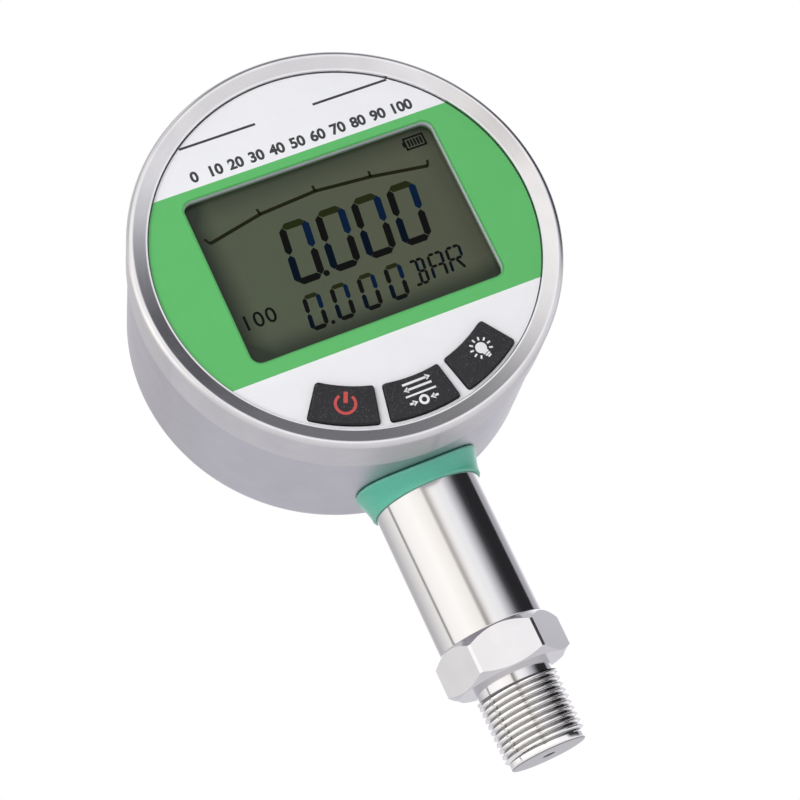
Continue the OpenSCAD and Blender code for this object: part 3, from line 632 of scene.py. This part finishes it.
def character(bm, bars, lit, x, z, width, high, thick):
    lean = math.tan(math.radians(display["lean"]))
    for name in lit:
        start, end, ink = bars[name]
        spots = []
        for across, level in (start, end):
            rise = thick / 2 + level * (high - thick) / 2
            spots.append(Vector((x + thick / 2 + across * (width - thick) + lean * rise, z + rise)))
        gap = (spots[1] - spots[0]).normalized() * display["gap"] * min(1, thick)
        stroke(bm, spots[0] + gap, spots[1] - gap, thick, plane, True, ink)


bm = bmesh.new()
for count in range(4):
    for left, step, *size in digitRows:
        character(bm, digitBars, digitBars, left + count * step, *size)
for point in points:
    disc(bm, *point, plane)
for spot, lit in letterRow:
    character(bm, letterBars, lit.split(), spot, *letterSize)
for start, end in zip(arc["through"], arc["through"][1:]):
    stroke(bm, start[:2], end[:2], arc["line"], plane, material=arc["ink"])
for x, z, lean in arc["through"]:
    stroke(bm, (x, z), (x + lean, z + arc["tickHigh"]), arc["tick"], plane, material=arc["ink"])
for start, end in cellSign["lines"]:
    stroke(bm, start, end, cellSign["line"], plane)
for count in range(cellSign["bars"]):
    spot = cellSign["from"] + count * cellSign["step"]
    stroke(bm, (spot, cellSign["low"]), (spot, cellSign["high"]), cellSign["bar"], plane)
lettering(bm, "100", -25.5, -10.55, 5.3, plane, weight=0.03, spacing=1.12)
inked(bm, "displayInk", "housing", segmentInks, display["ink"])
displayGround()

# painted light and shade: the walls are a pale grey that stands in for light on them, and they darken deeper in the
# window; the front faces take a darker green than the print as painted shade at the window's edge
holder = {"grey": (0.74, 0.76, 0.84), "rim": (0.075, 0.38, 0.1), "rimDeep": 0.5, "shade": (0.16, 0.27, 0.17),
          "shadeFrom": (1.1, 1.6)}
holderGrey = plastic("holderGrey", holder["grey"], 0.35, grain=0.5, deep=0.003)
holderRim = plastic("holderRim", holder["rim"], 0.4, grain=0.5, deep=0.003)
tree, shader = shaderOf(holderGrey)
# painted shade: darker deeper in the window
shaded = spread(tree, axesOf(tree, coords(tree))["Y"], 0, 1, *[faceY + d * mm for d in holder["shadeFrom"]])
feed(shader, "Base Color", mixColour(tree, shaded, readBy(shader, "Base Color"), holder["shade"]))
bm = nodeCopy("lcd_holder")
# painted shade: front faces at the window's edge take the darker green
for face in bm.faces:
    if face.normal.y < -0.9 and face.calc_center_median().y < faceY + holder["rimDeep"] * mm:
        face.material_index = 1
madePiece(bm, "displayHolder", "housing", [holderGrey, holderRim], ["lcd_holder"], turned=False)
print("display ready")

# Keys: arc-shaped caps with a flange behind, a post, and plain signs on top

keys = {"inner": 35.1, "outer": 44.1, "middle": 39.6, "rise": 1.2, "edge": 0.28, "corner": 0.6, "sharp": 45,
        "back": 1.9, "flange": 1.0, "lap": 0.8, "post": 2.5, "postBack": 3.6, "steps": 20}
keyRows = {"power": (-25, 10.5), "unit": (0, 11), "light": (25, 10.5)}  # turn on the dial, half its width
keyBlack = plastic("keyBlack", (0.023, 0.0228, 0.026), 0.5, grain=0.22, deep=0.006, second=(0.019, 0.019, 0.022),
                   speck=(0.26, 0.26, 0.27), Specular_IOR_Level=0.25)


def sector(bm, half, grow, front, back):
    # a block of an arc about the dial, from one radial edge swept round
    side = half + math.degrees(grow / keys["middle"])
    ends = [bm.verts.new(onDial(0, -r, front)) for r in (keys["inner"] - grow, keys["outer"] + grow)]
    edge = bm.edges.new(ends)
    turnedOnDial(bm, ends, side)
    bmesh.ops.spin(bm, geom=[*ends, edge], cent=dialAxis, axis=(0, 1, 0), angle=-2 * math.radians(side),
                   steps=keys["steps"])
    top = {f for v in ends for f in v.link_faces}
    grown = True
    while grown:
        more = {f for face in top for e in face.edges for f in e.link_faces} - top
        top |= more
        grown = bool(more)
    extruded(bm, top, (0, (back - front) * mm, 0))
    bmesh.ops.recalc_face_normals(bm, faces=bm.faces)


def sharpEdges(bm):
    return [e for e in bm.edges if len(e.link_faces) == 2 and e.calc_face_angle(0) > math.radians(keys["sharp"])]


def keyCap(name, turn, half):
    bm = bmesh.new()
    sector(bm, half, 0, -keys["rise"], keys["back"])
    corners = [e for e in sharpEdges(bm) if abs((e.verts[0].co - e.verts[1].co).normalized().y) > 0.9]
    rounded(bm, corners, keys["corner"], 5)
    top = faceY - (keys["rise"] - 0.01) * mm
    rounded(bm, [e for e in sharpEdges(bm) if all(v.co.y < top for v in e.verts)], keys["edge"], 4)
    sector(bm, half, keys["lap"], keys["back"], keys["back"] + keys["flange"])
    addPin(bm, onDial(0, -keys["middle"], keys["back"]), (0, 1, 0), keys["post"], keys["postBack"] - keys["back"])
    turnedOnDial(bm, bm.verts, -turn)
    madePiece(bm, name + "Key", name + "_button", [keyBlack], ["key_" + name], 40)


for name, (turn, half) in keyRows.items():
    keyCap(name, turn, half)

signs = {"front": -1.22, "thick": 0.04}
signColours = {"signRed": (0.56, 0.068, 0.06), "signWhite": (0.84, 0.84, 0.86)}
signRed, signWhite = [plastic(name, colour, 0.45, grain=0.3, deep=0.002) for name, colour in signColours.items()]


def keySign(bm, name, material):
    inked(bm, name + "Sign", name + "_button", [material], signs["thick"], keyRows[name][0])


def signRing(bm, x, z, radii, steps, opening=0):
    # a flat ring, whole or with an opening of twice this turn at its top
    centre = onDial(x, z, signs["front"])
    ends = [bm.verts.new(onDial(x, z + r, signs["front"])) for r in radii]
    edge = bm.edges.new(ends)
    if opening:
        bmesh.ops.rotate(bm, verts=ends, cent=centre, matrix=Matrix.Rotation(math.radians(opening), 3, "Y"))
    bmesh.ops.spin(bm, geom=[*ends, edge], cent=centre, axis=(0, 1, 0),
                   angle=2 * math.pi - 2 * math.radians(opening), steps=steps, use_merge=not opening)


# each ring is its middle, its radii and steps, and each line its ends and width
powerMark = {"ring": (0.2, -39.45, (1.93, 2.6), 48, 38), "line": ((0.2, -39.25), (0.2, -36.55), 0.95)}
bm = bmesh.new()
signRing(bm, *powerMark["ring"])
stroke(bm, *powerMark["line"], signs["front"])
keySign(bm, "power", signRed)

# each arrow is its middle, its way and its length
unitMark = {"arrows": [(0.3, -36.6, 1, 6.6), (0.3, -38.0, -1, 6.6), (-2.35, -41.35, 1, 1.7), (2.95, -41.35, -1, 1.7)],
            "shaft": 0.55, "short": 0.5, "head": [(-0.85, -0.75), (0.3, 0), (-0.85, 0.75)],
            "line": ((-3.4, -39.5), (4.0, -39.5), 0.45), "zero": (0.3, -41.35, (0.6, 1.2), 36)}
bm = bmesh.new()
for x, z, way, long in unitMark["arrows"]:
    stroke(bm, (x - way * long / 2, z), (x + way * (long / 2 - unitMark["short"]), z), unitMark["shaft"],
           signs["front"])
    bm.faces.new([bm.verts.new(onDial(x + way * (long / 2 + a), z + way * b, signs["front"]))
                  for a, b in unitMark["head"]])
stroke(bm, *unitMark["line"], signs["front"])
signRing(bm, *unitMark["zero"])
keySign(bm, "unit", signWhite)

lightMark = {"bulb": (1.15, -38.94, 1.35), "foot": [(-1.45, 1.5), (-2.05, 1.3), (-2.6, 0.9)], "line": 0.42,
             "rays": 9, "from": -42, "sweep": 264, "reach": (1.85, 2.7)}
bm = bmesh.new()
x, z, size = lightMark["bulb"]
disc(bm, x, z, size, signs["front"], 40)
for low, wide in lightMark["foot"]:
    stroke(bm, (x - wide / 2, z + low), (x + wide / 2, z + low), lightMark["line"], signs["front"])
for count in range(lightMark["rays"]):
    way = Vector(roundDial(1, lightMark["from"] + count * lightMark["sweep"] / (lightMark["rays"] - 1)))
    stroke(bm, *[Vector((x, z)) + way * r for r in lightMark["reach"]], lightMark["line"], signs["front"])
keySign(bm, "light", signWhite)
print("keys ready")

# Saddle gasket: its rim is flat and its upper edge follows the round case

# foot and crown are (radius, step); the shape is spun tall and each ring is then set on its own height
gasket = {"rim": 49.2, "wall": 13.8, "flare": 1.52, "curve": 1.7, "step": 0.32, "fall": 1.3, "rings": 10,
          "foot": [(13.02, 0.1), (13.2, 0.0), (13.5, 0.0), (13.7, 0.1), (13.8, 0.32)],
          "crown": [(15.38, -0.8), (15.4, -0.62), (15.34, -0.42), (15.14, -0.24), (14.8, -0.1), (14.3, 0.0),
                    (13.02, 0.0)], "tall": 100, "steps": 200, "highlightFoot": 13.65, "highlightCrown": 15.2}
silicone = plastic("silicone", (0.078, 0.5, 0.34), 0.34, grain=0.5, deep=0.004, second=(0.066, 0.47, 0.315),
                   speck=(0.2, 0.55, 0.42), Subsurface_Weight=0.1, Subsurface_Scale=0.002, Specular_IOR_Level=0.8,
                   Coat_Weight=0.2, Coat_Roughness=0.3)
# painted highlight: a paler green along the crown's edge and the foot's outer edge stands in for the light these
# edges catch
siliconeEdge = plastic("siliconeEdge", (0.2, 0.58, 0.45), 0.4, grain=0.5, deep=0.004, second=(0.13, 0.5, 0.36))
rings = [(r, 0, step) for r, step in gasket["foot"]]
for count in range(1, gasket["rings"] + 1):
    share = count / gasket["rings"]
    rings.append((gasket["wall"] + gasket["flare"] * share ** gasket["curve"], share,
                  gasket["step"] - share * gasket["fall"]))
rings += [(r, 1, step) for r, step in gasket["crown"]]
bm = mended(spunRound([(r, share * gasket["tall"], 0) for r, share, step in rings], False, gasket["steps"], False),
            turned=False)
# faces along the crown's edge and the foot's outer edge take the painted highlight
for face in bm.faces:
    middle = face.calc_center_median()
    across = math.hypot(middle.x, middle.y) / mm
    if ((middle.z > (gasket["tall"] - 1) * mm and across > gasket["highlightCrown"])
            or (middle.z < mm and across > gasket["highlightFoot"])):
        face.material_index = 1
for vert in bm.verts:
    across = math.hypot(vert.co.x, vert.co.y) / mm
    r, share, step = min(rings, key=lambda ring: (abs(ring[1] * gasket["tall"] - vert.co.z / mm) > 0.5,
                                                  abs(ring[0] - across)))
    top = dialZ / mm - math.sqrt(case["outer"] ** 2 - (vert.co.x / mm) ** 2)
    vert.co.z = (gasket["rim"] + share * (top - gasket["rim"]) + step) * mm
madePiece(bm, "saddleGasket", "housing", [silicone, siliconeEdge], ["saddle_gasket"], 50)

# Stem sleeve

sleeve = {"radius": 13.0, "bore": 11.05, "foot": 13.3, "footSoft": 0.12, "top": 52.95, "topSoft": 0.1, "roof": 49.95,
          "spigot": 10.0, "spigotBore": 8.0, "end": 64.75, "endSoft": 0.5, "colour": (0.62, 0.61, 0.61), "rough": 0.1}
sleeveSteel = steel("sleeveSteel", sleeve["colour"], sleeve["rough"], None, mark=0.14, uneven=0.03,
                    tint=(0.98, 0.98, 0.98), contrast=0.06)
bm = spunRound(cornersOf(sleeve, "bore foot", "radius foot footSoft", "radius top topSoft", "spigot top",
                         "spigot end endSoft", "spigotBore end", "spigotBore roof", "bore roof"), False)
madePiece(bm, "stemSleeve", "housing", [sleeveSteel], ["stem_sleeve"], 24)

# Process fitting: the hexagon, the M20 thread with its 1.5 mm pitch, and the plain end with its port

# groove is (height, radius above the root) over one pitch; shadeFrom starts above the root, portFrom at the port
fitting = {"radius": 10.0, "root": 9.09, "pitch": 1.5, "turns": 13, "steps": 96, "low": -15.2, "lead": 0.8,
           "runIn": 1.6, "pilot": 9.25, "end": -16.7, "portSoft": 0.2, "endSoft": 0.5, "port": 1.5,
           "groove": [(-0.75, 0), (-0.6, 0.01), (-0.55, 0.05), (-0.21, 0.83), (-0.16, 0.89), (-0.12, 0.91),
                      (-0.09, 0.91), (0.09, 0.91), (0.12, 0.91), (0.16, 0.89), (0.21, 0.83), (0.55, 0.05),
                      (0.6, 0.01), (0.75, 0)],
           "colour": (0.65, 0.64, 0.65), "rough": 0.11, "bright": (0.86, 0.85, 0.84), "shade": (0.1, 0.1, 0.1),
           "shadeFrom": (0.01, 0.09), "portFrom": (0.05, 0.25)}
fittingSteel = steel("fittingSteel", fitting["colour"], fitting["rough"], "stem", mark=0.16, deep=0.0003,
                     uneven=0.03, contrast=0.08)
tree, shader = shaderOf(fittingSteel)
split = axesOf(tree, lathe(tree, coords(tree), "stem"))
below = worked(tree, "LESS_THAN", split["Y"], 0.0)
polished = mixColour(tree, below, readBy(shader, "Base Color"), fitting["bright"])
# painted shade: the thread's roots and the port darken towards the shade colour
deep = spread(tree, split["X"], 0.85, 0, *[(fitting["root"] + more) * mm for more in fitting["shadeFrom"]])
inPort = spread(tree, split["X"], 0.9, 0, *[(fitting["port"] + more) * mm for more in fitting["portFrom"]])
dim = worked(tree, "MAXIMUM", worked(tree, "MULTIPLY", deep, below), inPort)
feed(shader, "Base Color", mixColour(tree, dim, polished, fitting["shade"]))


def filledRound(bm, edges, radius, level):
    # closes a cut end with a flat face round the port, and returns the port's edges
    circle = bmesh.ops.create_circle(bm, segments=48, radius=radius * mm,
                                     matrix=Matrix.Translation((0, 0, level * mm)))
    port = list({e for v in circle["verts"] for e in v.link_edges})
    bmesh.ops.triangle_fill(bm, edges=list(edges) + port, use_beauty=True, normal=(0, 0, 1))
    return port


thread = bmesh.new()
row = [thread.verts.new(((fitting["root"] + out) * mm, 0, (fitting["low"] - fitting["runIn"] + z) * mm))
       for z, out in fitting["groove"]]
edges = [thread.edges.new(pair) for pair in zip(row, row[1:])]
bmesh.ops.spin(thread, geom=row + edges, cent=(0, 0, 0), axis=(0, 0, 1),
               dvec=(0, 0, fitting["pitch"] * mm / fitting["steps"]), angle=2 * math.pi * fitting["turns"],
               steps=fitting["steps"] * fitting["turns"])
bmesh.ops.remove_doubles(thread, verts=thread.verts, dist=weld["thread"])
# the ribs rise from the plain end over the length of the lead
for vert in thread.verts:
    started = max(0, (vert.co.z / mm - fitting["low"]) / fitting["lead"])
    most = fitting["pilot"] + started * (fitting["radius"] - fitting["pilot"])
    across = math.hypot(vert.co.x, vert.co.y) / mm
    if across > most:
        vert.co.x, vert.co.y = vert.co.x * most / across, vert.co.y * most / across
ports = []
for level, clear in ((0, {"clear_outer": True}), (fitting["low"], {"clear_inner": True})):
    ports += filledRound(thread, sliced(thread, (0, 0, level * mm), **clear), fitting["port"], level)
bmesh.ops.bridge_loops(thread, edges=ports)
bmesh.ops.recalc_face_normals(thread, faces=thread.faces)
bm = nodeCopy("process_fitting")
bmesh.ops.triangle_fill(bm, edges=sliced(bm, (0, 0, 0), clear_inner=True), use_beauty=True, normal=(0, 0, 1))
plainEnd = cornersOf(fitting, "port end portSoft", "pilot end endSoft", "pilot low", "port low")
for part in (thread, mended(spunRound(plainEnd, False, 128))):
    addParts(bm, part)
madePiece(bm, "processFitting", "housing", [fittingSteel], ["process_fitting"], 20, turned=False)
print("stem ready")

# Back: cover plate and its button-head screws

cover = {"seat": 50.2, "head": 2.75, "high": 1.7, "edge": 1.0, "socket": 1.15, "deep": 1.0, "past": 3, "shank": 1.5,
         "long": 6.5, "plate": (0.55, 0.54, 0.56), "plateRough": 0.3, "screw": (0.52, 0.53, 0.55), "screwRough": 0.25}
coverSteel = steel("coverSteel", cover["plate"], cover["plateRough"], "dial", deep=0.0012)
screwSteel = steel("screwSteel", cover["screw"], cover["screwRough"], None, mark=0.2, deep=0.001)
madePiece(nodeCopy("battery_cover"), "backCover", "housing", [coverSteel], ["battery_cover"], 24,
          turned=False)
screw = bmesh.new()
addPin(screw, onDial(0, 0, cover["seat"]), (0, 1, 0), cover["head"], cover["high"])
top = faceY + (cover["seat"] + cover["high"] - 0.01) * mm
rounded(screw, [e for e in screw.edges if all(v.co.y > top for v in e.verts)], cover["edge"], 6)
socket = bmesh.new()
addPin(socket, onDial(0, 0, cover["seat"] + cover["high"] - cover["deep"]), (0, 1, 0),
       cover["socket"] / math.cos(math.pi / 6), cover["past"], 6)
screw = cutOut(screw, socket)
addPin(screw, onDial(0, 0, cover["seat"] - cover["long"]), (0, 1, 0), cover["shank"], cover["long"], 32)
bm = bmesh.new()
addParts(bm, screw, [onDial(*roundDial(case["nutRing"], turn)) - onDial(0, 0) for turn in case["nutTurns"]])
madePiece(bm, "coverScrews", "housing", [screwSteel], ["cover_screws"], 30)
print("back ready")

# Finishes of the solids that stay as they are

# each is its colour, its roughness, the size of its grain and the grain's depth
plastics = {"rubberBlack": ((0.03, 0.03, 0.032), 0.7, 0.5, 0.01),
            "whitePlastic": ((0.8, 0.8, 0.82), 0.35, 0.6, 0.003),
            "darkPlastic": ((0.045, 0.047, 0.05), 0.45, 0.4, 0.004),
            "ivoryPlastic": ((0.8, 0.76, 0.66), 0.45, 0.5, 0.003),
            "trayBlack": ((0.04, 0.04, 0.043), 0.55, 0.6, 0.008),
            "chipBlack": ((0.02, 0.02, 0.022), 0.6, 0.15, 0.003),
            "cableJacket": ((0.1, 0.1, 0.11), 0.45, 0.8, 0.006),
            "leadJacket": ((0.5, 0.04, 0.04), 0.4, 0.8, 0.004),
            "lightGuide": ((0.78, 0.82, 0.76), 0.3, 0.8, 0.002)}
plasticSockets = {"rubberBlack": {"Specular_IOR_Level": 0.3}, "lightGuide": {"Subsurface_Weight": 0.1}}
for name, values in plastics.items():
    plastic(name, *values, **plasticSockets.get(name, {}))
steels = {"zincSteel": ((0.55, 0.56, 0.58), 0.3, None, 0.4, 0.002),
          "turnedSteel": ((0.58, 0.57, 0.58), 0.22, "stem", 0.2, 0.0015),
          "contactBrass": ((0.72, 0.55, 0.27), 0.28, None, 0.5, 0.002)}
for name, values in steels.items():
    steel(name, *values)

board = {"mask": (0.015, 0.13, 0.055), "track": (0.04, 0.25, 0.1), "tin": (0.6, 0.6, 0.58), "trackScale": 260.0,
         "trackEdge": (0.03, 0.05), "padScale": 420.0, "padEdge": (0.16, 0.18)}
zebra = {"dark": (0.02, 0.02, 0.022), "pale": (0.6, 0.58, 0.56), "scale": 900.0, "edge": (0.4, 0.6)}
cell = {"blue": (0.05, 0.13, 0.42), "worn": (0.04, 0.09, 0.3), "label": (0.6, 0.6, 0.62), "bare": (0.6, 0.6, 0.6),
        "labelFrom": (14.8, 15.0), "bareFrom": (20.8, 21.0)}


def boardGreen():
    # solder mask with tracks under it and small tinned pads
    material, tree, shader = baseMaterial("boardGreen", (0.02, 0.16, 0.07), 0.35, Coat_Weight=0.3)
    where = coords(tree)
    tracks = addNode(tree, "ShaderNodeTexVoronoi", {"Vector": where, "Scale": board["trackScale"]},
                     feature="DISTANCE_TO_EDGE").outputs["Distance"]
    pads = addNode(tree, "ShaderNodeTexVoronoi", {"Vector": where, "Scale": board["padScale"]},
                   distance="CHEBYCHEV").outputs["Distance"]
    line = spread(tree, tracks, 1, 0, *board["trackEdge"])
    shade = mixColour(tree, line, board["mask"], board["track"])
    feed(shader, "Base Color", mixColour(tree, spread(tree, pads, 1, 0, *board["padEdge"]), shade, board["tin"]))
    bumped(tree, shader, line, 0.02)


def zebraRubber():
    material, tree, shader = baseMaterial("zebraRubber", (0.3, 0.3, 0.32), 0.6)
    stripes = addNode(tree, "ShaderNodeTexWave", {"Vector": coords(tree), "Scale": zebra["scale"]},
                      bands_direction="X").outputs["Fac"]
    sides = spread(tree, stripes, 0, 1, *zebra["edge"])
    feed(shader, "Base Color", mixColour(tree, sides, zebra["dark"], zebra["pale"]))


def cellJacket():
    # a blue sleeve that stops short of the bare ends
    material, tree, shader = baseMaterial("cellJacket", cell["blue"], 0.3, 0.35, Coat_Weight=0.3)
    where = coords(tree)
    far = worked(tree, "ABSOLUTE", axesOf(tree, where)["X"])
    label, bare = [spread(tree, far, 0, 1, *[r * mm for r in cell[name]]) for name in ("labelFrom", "bareFrom")]
    shade = mixColour(tree, label, cell["blue"], cell["label"])
    shade = mixColour(tree, spread(tree, noise(tree, where, 3), 0, 0.3), shade, cell["worn"])
    feed(shader, "Base Color", mixColour(tree, bare, shade, cell["bare"]))
    bumped(tree, shader, noise(tree, where, 0.6), 0.003)


boardGreen()
zebraRubber()
cellJacket()
finishes = {"rubberBlack": "bezel_seal sensor_o_ring cover_seal", "whitePlastic": "front_panel",
            "displayGround": "lcd_glass", "lightGuide": "lcd_backlight", "zebraRubber": "zebra_strips",
            "ivoryPlastic": "plunger_power plunger_unit plunger_light board_sockets sensor_plug",
            "darkPlastic": "tact_switches", "boardGreen": "main_board sensor_board", "chipBlack": "control_chip",
            "zincSteel": "board_screws saddle_washer stem_nut rivet_nuts",
            "turnedSteel": "sensor_cell sensor_retainer", "cableJacket": "sensor_cable",
            "trayBlack": "battery_tray", "cellJacket": "battery_cells", "contactBrass": "battery_contacts",
            "leadJacket": "battery_lead"}
for finish, names in finishes.items():
    for name in names.split():
        slots = nodes[name].data.materials
        slots.clear()
        slots.append(bpy.data.materials[finish])
print("finishes ready")
